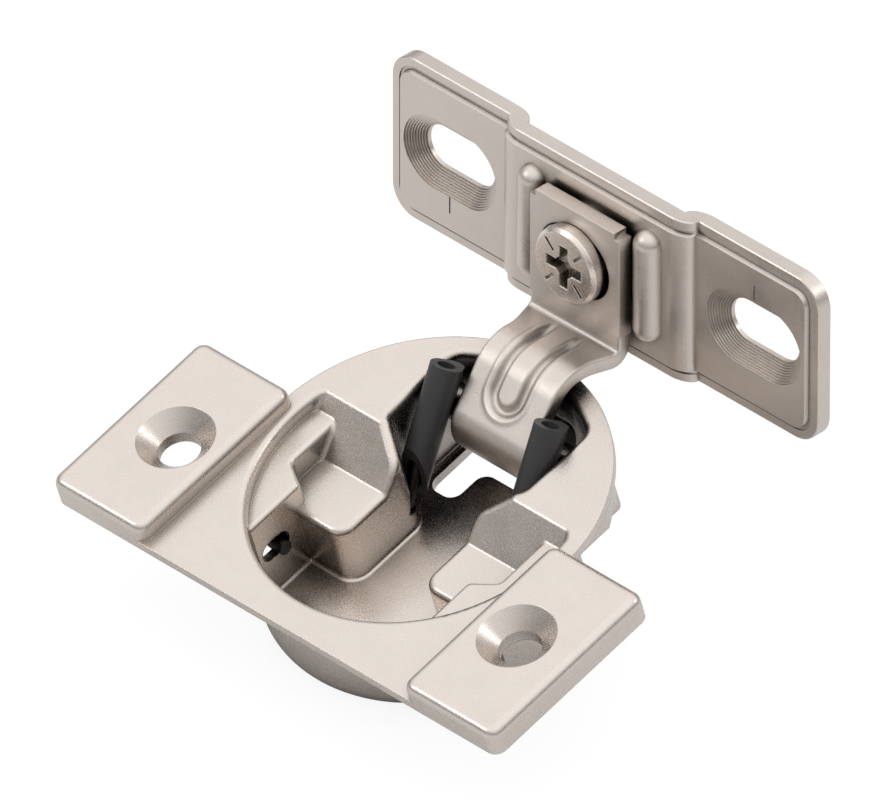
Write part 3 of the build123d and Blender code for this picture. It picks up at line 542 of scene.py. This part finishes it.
def rounded_outline(half_x, half_z, radius):
    """A rounded rectangle as places across the plate."""
    outline = []
    for turn, (side_x, side_z) in enumerate(((1, 1), (-1, 1), (-1, -1), (1, -1))):
        centre_x = side_x * (half_x - radius)
        centre_z = side_z * (half_z - radius)
        for i in range(CORNER_STEPS + 1):
            step = side_step(math.pi / 2 * (turn + i / CORNER_STEPS))
            outline.append((centre_x + radius * step.x, centre_z + radius * step.y))
    return outline


def loft(sections, centre=(0, 0)):
    """A closed object through outlines at given depths, moved across the plate."""
    shape = bmesh.new()
    rings = []
    for depth, outline in sections:
        rings.append([shape.verts.new((x, -depth, z)) for x, z in outline])
    skin(shape, rings)
    mesh = bpy.data.meshes.new("loft")
    shape.to_mesh(mesh)
    shape.free()
    for vertex in mesh.vertices:
        vertex.co.x += centre[0]
        vertex.co.z += centre[1]
    item = bpy.data.objects.new("loft", mesh)
    scene.collection.objects.link(item)
    return item


def combine(target, tool, operation):
    """Join a tool to the target or cut it away, and delete the tool."""
    modifier = target.modifiers.new("combine", "BOOLEAN")
    modifier.operation = operation
    modifier.solver = "EXACT"
    modifier.object = tool
    graph = bpy.context.evaluated_depsgraph_get()
    mesh = bpy.data.meshes.new_from_object(target.evaluated_get(graph))
    target.modifiers.clear()
    target.data = mesh
    bpy.data.objects.remove(tool)


# %% Flat plate
PLATE_SHEET = 1.6 * MM
PLATE_CORNER = 3.0 * MM
PLATE_CHAMFER = 0.1 * MM
PANEL_BORDER = 0.95 * MM
LINE_WIDTH = 0.3 * MM
LINE_DEPTH = 0.12 * MM
PANEL_SLOPE = 0.2 * MM
PANEL_RISE = 0.4 * MM

plate_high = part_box("mounting_plate")[1]
panel_depth = PLATE_SHEET + PANEL_RISE


def plate_section(depth, inset):
    """The plate's outline at a depth from its back, drawn in by an inset."""
    half_x = plate_high.x - inset
    half_z = plate_high.z - inset
    return depth, rounded_outline(half_x, half_z, PLATE_CORNER - inset)


def make_flat_plate():
    """The strip with its edge chamfers, and its raised panel inside a struck line."""
    line_bottom = PLATE_SHEET - LINE_DEPTH
    return loft(
        [
            plate_section(0.0, 0.5 * PLATE_CHAMFER),
            plate_section(0.5 * PLATE_CHAMFER, 0.0),
            plate_section(PLATE_SHEET - PLATE_CHAMFER, 0.0),
            plate_section(PLATE_SHEET, PLATE_CHAMFER),
            plate_section(PLATE_SHEET, PANEL_BORDER),
            plate_section(line_bottom, PANEL_BORDER + 0.1 * LINE_WIDTH),
            plate_section(line_bottom, PANEL_BORDER + LINE_WIDTH),
            plate_section(panel_depth, PANEL_BORDER + LINE_WIDTH + PANEL_SLOPE),
        ]
    )


# %% Stepped slots
SLOT_X = 20.0 * MM
SLOT_RUN = 2.15 * MM
SLOT_RADIUS = 2.3 * MM
SINK_RADIUS = 4.0 * MM
SINK_STEPS = 9
SINK_START = 0.22
PLUG_OVER = 0.5 * MM


def slot_section(depth, radius):
    """A slot's outline at a depth."""
    return depth, rounded_outline(SLOT_RUN + radius, radius, radius)


def make_slot_plug(side):
    """The stepped plug that cuts one slot, widest at the front."""
    sections = [slot_section(-PLUG_OVER, SLOT_RADIUS)]
    radius = SLOT_RADIUS
    for step in range(SINK_STEPS):
        depth = panel_depth * (SINK_START + (1 - SINK_START) * step / SINK_STEPS)
        sections.append(slot_section(depth, radius))
        radius = SLOT_RADIUS + (SINK_RADIUS - SLOT_RADIUS) * (step + 1) / SINK_STEPS
        sections.append(slot_section(depth, radius))
    sections.append(slot_section(panel_depth + PLUG_OVER, radius))
    return loft(sections, (side * SLOT_X, 0))


# %% Ribs, pad and marks
RIB_X = 7.6 * MM
RIB_Z = 0.4 * MM
RIB_RUN = 4.6 * MM
RIB_RADIUS = 1.6 * MM
RIB_RISE = 1.9 * MM
RIB_TURN = math.radians(84)
RIB_STEPS = 8
RIB_HOLLOW = 0.35 * MM
PAD_RADIUS = 5.275 * MM
TAB_RISE = 0.56 * MM
TAB_GAP = 0.05 * MM
HOLE_RADIUS = 2.35 * MM
MARK_HALF_WIDTH = 0.09 * MM
MARK_HALF_LENGTH = 0.95 * MM
MARK_DEPTH = 0.12 * MM
MARK_Z = 4.85 * MM


def make_rib(side):
    """A rib with a round back and round ends."""
    foot = rounded_outline(RIB_RADIUS, RIB_RUN + RIB_RADIUS, RIB_RADIUS)
    sections = [(0.5 * PLATE_SHEET, foot)]
    for i in range(RIB_STEPS + 1):
        step = side_step(RIB_TURN * i / RIB_STEPS)
        radius = RIB_RADIUS * step.x
        depth = PLATE_SHEET + (RIB_RISE - RIB_RADIUS) + RIB_RADIUS * step.y
        sections.append((depth, rounded_outline(radius, RIB_RUN + radius, radius)))
    return loft(sections, (side * RIB_X, RIB_Z))


def make_rib_hollow(side):
    """The narrow slot at the back that the rib was pressed up from."""
    outline = rounded_outline(RIB_HOLLOW, RIB_RUN + RIB_HOLLOW, RIB_HOLLOW)
    sections = [(-PLUG_OVER, outline), (PLATE_SHEET + 0.5 * RIB_RISE, outline)]
    return loft(sections, (side * RIB_X, RIB_Z))


def make_disc(radius, low, high):
    """A round pad or plug in the middle of the plate."""
    outline = rounded_outline(radius, radius, radius)
    return loft([(low, outline), (high, outline)], (0, RIB_Z))


def make_mark(side):
    """A fine line struck into the panel beside a slot."""
    outline = rounded_outline(MARK_HALF_WIDTH, MARK_HALF_LENGTH, 0.5 * MARK_HALF_WIDTH)
    sections = [(panel_depth - MARK_DEPTH, outline), (panel_depth + PLUG_OVER, outline)]
    return loft(sections, (side * SLOT_X, side * MARK_Z))


# %% Joggle
JOGGLE_RISE = 1.36 * MM
BEND_FRONT = (10.0 * MM, 12.4 * MM)
BEND_BACK = (10.4 * MM, 13.0 * MM)
BEND_BANDS = 12
BEND_GUARD = 0.1 * MM
CUT_SNAP = 0.0001 * MM


def joggle(x, share):
    """How far the strip comes forward at x, from its back (share 0) to its face (share 1)."""
    first, last = BEND_FRONT
    along = share_between(first, last, abs(x))
    face = math.sqrt(1 - along * along)
    first, last = BEND_BACK
    along = share_between(last, first, abs(x))
    back = 1 - math.sqrt(1 - along * along)
    return JOGGLE_RISE * (back + share * (face - back))


def bend_lines():
    """Where the mesh is cut into bands: closer together where a bend is steep."""
    lines = [BEND_FRONT[0] - BEND_GUARD, BEND_BACK[1] + BEND_GUARD]
    for i in range(BEND_BANDS + 1):
        step = math.sin(math.pi / 2 * i / BEND_BANDS)
        lines.append(BEND_FRONT[0] + (BEND_FRONT[1] - BEND_FRONT[0]) * step)
        lines.append(BEND_BACK[1] - (BEND_BACK[1] - BEND_BACK[0]) * step)
    return lines


def bend_plate(mesh):
    """Cut the flat plate into bands and joggle it."""
    shape = bmesh.new()
    shape.from_mesh(mesh)
    for line in bend_lines():
        for side in (-1, 1):
            bmesh.ops.bisect_plane(
                shape,
                geom=everything(shape),
                dist=CUT_SNAP,
                plane_co=(side * line, 0, 0),
                plane_no=(1, 0, 0),
            )
    for vertex in shape.verts:
        share = min(1.0, -vertex.co.y / PLATE_SHEET)
        vertex.co.y -= joggle(vertex.co.x, share)
    bmesh.ops.triangulate(shape, faces=[face for face in shape.faces if len(face.verts) > 4])
    shape.to_mesh(mesh)
    shape.free()


# %% Mounting plate
PLATE_CREASE = math.radians(28)


def make_plate():
    """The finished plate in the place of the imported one."""
    plate = make_flat_plate()
    for side in (-1, 1):
        combine(plate, make_slot_plug(side), "DIFFERENCE")
        combine(plate, make_rib(side), "UNION")
        combine(plate, make_rib_hollow(side), "DIFFERENCE")
        combine(plate, make_mark(side), "DIFFERENCE")
    pad_depth = panel_depth + TAB_RISE - TAB_GAP
    combine(plate, make_disc(PAD_RADIUS, 0.5 * PLATE_SHEET, pad_depth), "UNION")
    hole_plug = make_disc(HOLE_RADIUS, -PLUG_OVER, panel_depth + 2 * PLUG_OVER)
    combine(plate, hole_plug, "DIFFERENCE")
    mesh = plate.data
    bend_plate(mesh)
    mesh.materials.clear()
    mesh.materials.append(plate_nickel)
    mesh.shade_smooth()
    mesh.set_sharp_from_angle(angle=PLATE_CREASE)
    plate.name = "joggled_plate"
    mesh.name = "joggled_plate"
    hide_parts("mounting_plate")
    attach(plate, "plate")
    return plate


joggled_plate = make_plate()
print("plate faces", len(joggled_plate.data.polygons))

# %% [markdown]
# ## Springs
# Each side has a torsion spring: a leg up into its sleeve, a few turns of wire lying in the
# cup, and a leg whose hook comes out of a window. The wire keeps one thickness along one
# route, so a Geometry Nodes tree sweeps a circle along it. The route is worked out from the
# spring's own sizes, in the tilted frame of the cup.

# %% Wire tree
def make_wire_tree():
    """Sweep a round wire along a curve; its thickness and its sides are inputs."""
    tree = bpy.data.node_groups.new("wire_on_route", "GeometryNodeTree")
    for name, direction, kind in (
        ("Route", "INPUT", "NodeSocketGeometry"),
        ("Wire Radius", "INPUT", "NodeSocketFloat"),
        ("Wire Sides", "INPUT", "NodeSocketInt"),
        ("Finish", "INPUT", "NodeSocketMaterial"),
        ("Wire", "OUTPUT", "NodeSocketGeometry"),
    ):
        tree.interface.new_socket(name, in_out=direction, socket_type=kind)
    entry = tree.nodes.new("NodeGroupInput")
    result = tree.nodes.new("NodeGroupOutput")
    circle = tree.nodes.new("GeometryNodeCurvePrimitiveCircle")
    sweep = tree.nodes.new("GeometryNodeCurveToMesh")
    smooth = tree.nodes.new("GeometryNodeSetShadeSmooth")
    realize = tree.nodes.new("GeometryNodeRealizeInstances")
    finish = tree.nodes.new("GeometryNodeSetMaterial")
    link = tree.links.new
    link(entry.outputs["Wire Sides"], circle.inputs["Resolution"])
    link(entry.outputs["Wire Radius"], circle.inputs["Radius"])
    link(entry.outputs["Route"], sweep.inputs["Curve"])
    link(circle.outputs["Curve"], sweep.inputs["Profile Curve"])
    sweep.inputs["Fill Caps"].default_value = True
    link(sweep.outputs["Mesh"], smooth.inputs["Geometry"])
    link(smooth.outputs["Geometry"], realize.inputs["Geometry"])
    link(realize.outputs["Geometry"], finish.inputs["Geometry"])
    link(entry.outputs["Finish"], finish.inputs["Material"])
    link(finish.outputs["Geometry"], result.inputs["Wire"])
    return tree


wire_tree = make_wire_tree()
print("tree", wire_tree.name, len(wire_tree.nodes), "nodes")

# %% Spring route
CUP_TILT = math.radians(17)
PIVOT_V = 11.88 * MM
PIVOT_N = -3.94 * MM
COIL_CENTRE = (1.0 * MM, -8.03 * MM)
COIL_RADIUS = 1.9 * MM
COIL_PITCH = 1.91 * MM
COIL_TURNS = 3
COIL_START = math.radians(-39.5)
COIL_EXTRA = math.radians(70.5)
COIL_STEPS = 96
LEG_X = 6.85 * MM
UPPER_LEG = 13.0 * MM
FRONT_LEG = 10.4 * MM
HOOK_REACH = 2.6 * MM
HOOK_BEND = 1.2 * MM
HOOK_STEPS = 6

cup_back = Vector((0, math.cos(CUP_TILT), math.sin(CUP_TILT)))
cup_up = Vector((0, -math.sin(CUP_TILT), math.cos(CUP_TILT)))
pivot = Vector((0, eye_centre.x, eye_centre.y))


def cup_point(x, v, n):
    """A place given in the cup's frame: along the pin, to the back, out of the flange."""
    return pivot + Vector((x, 0, 0)) + (v - PIVOT_V) * cup_back + (n - PIVOT_N) * cup_up


def spring_route():
    """Places along the right spring's wire, from its upper leg to the hook's tip."""
    whole = 2 * math.pi * COIL_TURNS + COIL_EXTRA
    route = []
    for i in range(COIL_STEPS + 1):
        turned = whole * i / COIL_STEPS
        angle = COIL_START - turned
        x = LEG_X + COIL_PITCH * turned / (2 * math.pi)
        v = COIL_CENTRE[0] + COIL_RADIUS * math.cos(angle)
        n = COIL_CENTRE[1] + COIL_RADIUS * math.sin(angle)
        route.append((x, v, n))
    first_x, first_v, first_n = route[0]
    rise = side_step(COIL_START + math.pi / 2)
    top = (first_x, first_v + UPPER_LEG * rise.x, first_n + UPPER_LEG * rise.y)
    last_x, last_v, last_n = route[-1]
    fall = side_step(COIL_START - COIL_EXTRA - math.pi / 2)
    straight_leg = FRONT_LEG - HOOK_BEND
    for i in range(HOOK_STEPS + 1):
        angle = math.pi / 2 * i / HOOK_STEPS
        run = straight_leg + HOOK_BEND * math.sin(angle)
        inward = HOOK_BEND * (1 - math.cos(angle))
        route.append((last_x - inward, last_v + run * fall.x, last_n + run * fall.y))
    end_v = last_v + FRONT_LEG * fall.x
    end_n = last_n + FRONT_LEG * fall.y
    return [top] + route + [(last_x - HOOK_REACH, end_v, end_n)]


# %% Springs
WIRE_RADIUS = 0.75 * MM
WIRE_SIDES = 20


def modifier_input(modifier, name, value):
    """Set a named input of a Geometry Nodes modifier by its socket's identifier."""
    for item in modifier.node_group.interface.items_tree:
        if item.item_type == "SOCKET" and item.in_out == "INPUT" and item.name == name:
            modifier[item.identifier] = value


def make_spring(name, side):
    """One spring; side is 1 for the right and -1 for its mirror image."""
    data = bpy.data.curves.new(name + "_route", "CURVE")
    data.dimensions = "3D"
    places = spring_route()
    spline = data.splines.new("POLY")
    spline.points.add(len(places) - 1)
    for point, (x, v, n) in zip(spline.points, places):
        point.co = (*cup_point(side * x, v, n), 1)
    route = bpy.data.objects.new(name + "_route", data)
    scene.collection.objects.link(route)
    modifier = route.modifiers.new("wire", "NODES")
    modifier.node_group = wire_tree
    modifier_input(modifier, "Wire Radius", WIRE_RADIUS)
    modifier_input(modifier, "Wire Sides", WIRE_SIDES)
    modifier_input(modifier, "Finish", spring_wire)
    graph = bpy.context.evaluated_depsgraph_get()
    mesh = bpy.data.meshes.new_from_object(route.evaluated_get(graph))
    mesh.name = name
    bpy.data.objects.remove(route)
    spring = bpy.data.objects.new(name, mesh)
    scene.collection.objects.link(spring)
    return spring


for word, side in (("left", -1), ("right", 1)):
    spring = make_spring("coiled_spring_" + word, side)
    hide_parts("spring_" + word)
    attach(spring, "cup")
    print(spring.name, "faces", len(spring.data.polygons))

# %% [markdown]
# ## Studio
# Bright metal shows what stands round it, so the studio does most of the work. The camera
# sees floor and sky as white, and the floor keeps a share of its own shading there, so the
# shadow under the hinge stays. In reflections the sky keeps its gradient and the floor
# nearly all of its grey, which gives the metal its darker sides.

# %% Background rays
WHITE = (1, 1, 1, 1)


def background_share(tree, camera_share, mirror_share):
    """How far a ray sees plain white: camera rays, then mirror and glass rays."""
    path = add_node(tree, "ShaderNodeLightPath")
    link = tree.links.new
    mirrors = add_node(tree, "ShaderNodeMath", operation="MAXIMUM")
    link(path.outputs["Is Glossy Ray"], mirrors.inputs[0])
    link(path.outputs["Is Transmission Ray"], mirrors.inputs[1])
    seen = add_node(tree, "ShaderNodeMath", operation="MULTIPLY", inputs={1: camera_share})
    link(path.outputs["Is Camera Ray"], seen.inputs[0])
    total = add_node(tree, "ShaderNodeMath", operation="MULTIPLY_ADD", inputs={1: mirror_share})
    link(mirrors.outputs[0], total.inputs[0])
    link(seen.outputs[0], total.inputs[2])
    return total.outputs[0]


# %% Floor
FLOOR_GAP = 0.6 * MM
FLOOR_SIZE = 12.0
FLOOR_TONE = (0.74, 0.74, 0.74, 1)
FLOOR_CAMERA_SHARE = 0.78
FLOOR_MIRROR_SHARE = 0.05
FLOOR_WHITE = 1.15


def make_floor():
    """A wide white floor just under the hinge, with a faint shadow, clear from below."""
    mesh = bpy.data.meshes.new("floor")
    half = FLOOR_SIZE / 2
    z = cad_low.z - FLOOR_GAP
    corners = [(-half, -half, z), (half, -half, z), (half, half, z), (-half, half, z)]
    mesh.from_pydata(corners, [], [(0, 1, 2, 3)])
    floor = bpy.data.objects.new("floor", mesh)
    scene.collection.objects.link(floor)
    material = bpy.data.materials.new("floor_paper")
    material.use_nodes = True
    tree = material.node_tree
    shader = tree.nodes["Principled BSDF"]
    shader.inputs["Base Color"].default_value = FLOOR_TONE
    shader.inputs["Roughness"].default_value = 0.9
    shader.inputs["Specular IOR Level"].default_value = 0.1
    white = add_node(
        tree, "ShaderNodeEmission", inputs={"Color": WHITE, "Strength": FLOOR_WHITE}
    )
    mix = add_node(tree, "ShaderNodeMixShader")
    link = tree.links.new
    link(background_share(tree, FLOOR_CAMERA_SHARE, FLOOR_MIRROR_SHARE), mix.inputs["Fac"])
    link(shader.outputs[0], mix.inputs[1])
    link(white.outputs[0], mix.inputs[2])
    clear = add_node(tree, "ShaderNodeBsdfTransparent")
    facing = add_node(tree, "ShaderNodeNewGeometry")
    sided = add_node(tree, "ShaderNodeMixShader")
    link(facing.outputs["Backfacing"], sided.inputs["Fac"])
    link(mix.outputs[0], sided.inputs[1])
    link(clear.outputs[0], sided.inputs[2])
    link(sided.outputs[0], tree.nodes["Material Output"].inputs["Surface"])
    mesh.materials.append(material)
    return floor


floor = make_floor()
print("floor at mm", round(floor.data.vertices[0].co.z / MM, 2))

# %% [markdown]
# ## Sky and lamps
# The sky brightens from the horizon to the zenith, so flat faces at different tilts differ
# in tone. Two soft boxes, at the front left and the back right, light up the rounded edges.

# %% Sky
HORIZON = 0.12
ZENITH = 1.2
GRADIENT_TOP = 0.8


def make_sky():
    """A white studio sky that is brighter overhead."""
    world = bpy.data.worlds.new("studio")
    scene.world = world
    world.use_nodes = True
    tree = world.node_tree
    link = tree.links.new
    sky = tree.nodes["Background"]
    sky.inputs["Color"].default_value = WHITE
    direction = add_node(tree, "ShaderNodeTexCoord")
    split = add_node(tree, "ShaderNodeSeparateXYZ")
    link(direction.outputs["Generated"], split.inputs[0])
    height = add_node(
        tree,
        "ShaderNodeMapRange",
        inputs={"From Max": GRADIENT_TOP, "To Min": HORIZON, "To Max": ZENITH},
    )
    link(split.outputs["Z"], height.inputs["Value"])
    link(height.outputs["Result"], sky.inputs["Strength"])
    white = add_node(tree, "ShaderNodeBackground", inputs={"Color": WHITE, "Strength": 1.0})
    path = add_node(tree, "ShaderNodeLightPath")
    mix = add_node(tree, "ShaderNodeMixShader")
    link(path.outputs["Is Camera Ray"], mix.inputs["Fac"])
    link(sky.outputs[0], mix.inputs[1])
    link(white.outputs[0], mix.inputs[2])
    link(mix.outputs[0], tree.nodes["World Output"].inputs["Surface"])


make_sky()
print("world", scene.world.name)

# %% Soft boxes
LAMP_DISTANCE = 1.5
LAMP_SIZE = 0.35


def add_lamp(name, direction, size, watts):
    """A square soft box that looks at the hinge from a direction."""
    data = bpy.data.lights.new(name, "AREA")
    data.shape = "SQUARE"
    data.size = size
    data.energy = watts
    lamp = bpy.data.objects.new(name, data)
    toward = Vector(direction).normalized()
    lamp.location = toward * LAMP_DISTANCE
    lamp.rotation_euler = toward.to_track_quat("Z", "Y").to_euler()
    scene.collection.objects.link(lamp)
    return lamp


for lamp in (
    add_lamp("front_left_box", (-1, -1.2, 1), size=LAMP_SIZE, watts=1.6),
    add_lamp("back_right_box", (1, 1, 1), size=LAMP_SIZE, watts=1.4),
):
    print(lamp.name, "at m", [round(v, 2) for v in lamp.location])
